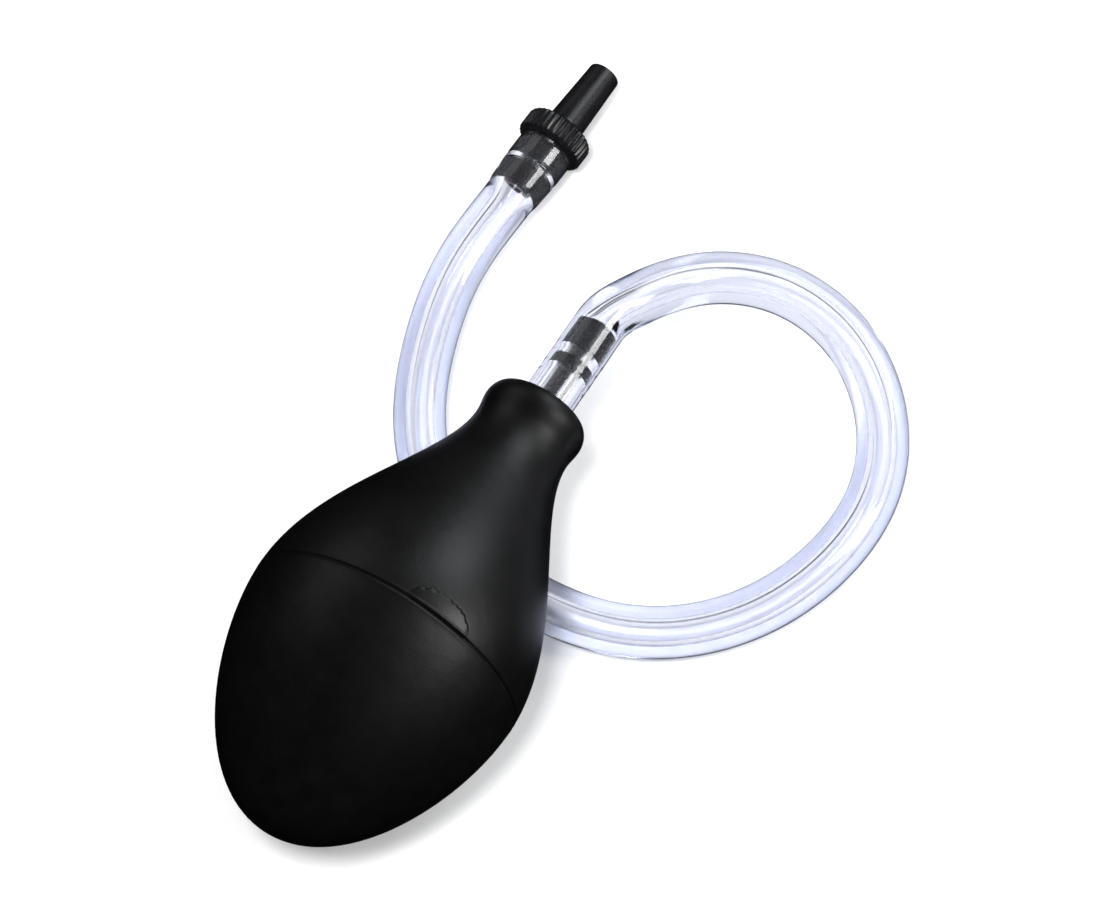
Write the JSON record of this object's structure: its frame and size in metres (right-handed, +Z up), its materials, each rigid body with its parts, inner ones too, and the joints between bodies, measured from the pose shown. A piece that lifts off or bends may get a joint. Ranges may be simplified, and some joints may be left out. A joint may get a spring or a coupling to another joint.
{
  "type": "dust blower bulb",
  "caption": "Pear-shaped black rubber squeeze bulb with a looped clear hose and a ribbed push-in nozzle, for blowing air.",
  "frame": {"origin": "on the ground, below the middle of the bulb and its neck connector taken together", "axes": "+X along the bulb's axis from its base to its mouth, +Z up, the hose's loop lies on the -Y side"},
  "size_m": [0.141, 0.0817, 0.0443],
  "materials": {
    "neck_rubber": "satin",
    "base_rubber": "satin",
    "connector_plastic": "gloss",
    "bulb_end_vinyl": "clear gloss",
    "clear_vinyl": "clear gloss",
    "nozzle_end_vinyl": "clear gloss",
    "nozzle_plastic": "satin"
  },
  "bodies": {
    "bulb": {"bulb_neck_half": "neck_rubber", "neck_connector": "connector_plastic", "hose_end_bulb": "bulb_end_vinyl", "hose": "clear_vinyl", "hose_end_nozzle": "nozzle_end_vinyl"},
    "bulb_base": {"bulb_base_half": "base_rubber"},
    "nozzle": {"nozzle": "nozzle_plastic"}
  },
  "joints": [
    {"name": "bulb_squeeze", "type": "slide", "parent": "bulb", "child": "bulb_base", "axis": [1, 0, 0], "range_m": [0, 0.015], "stiffness_N_per_m": 900, "deforming": ["bulb_base_half"]},
    {"name": "nozzle_twist", "type": "hinge", "parent": "bulb", "child": "nozzle", "pos_m": [0.07773, 0.0261, 0.00555], "axis": [0.9976, -0.0698, 0], "continuous": true}
  ]
}
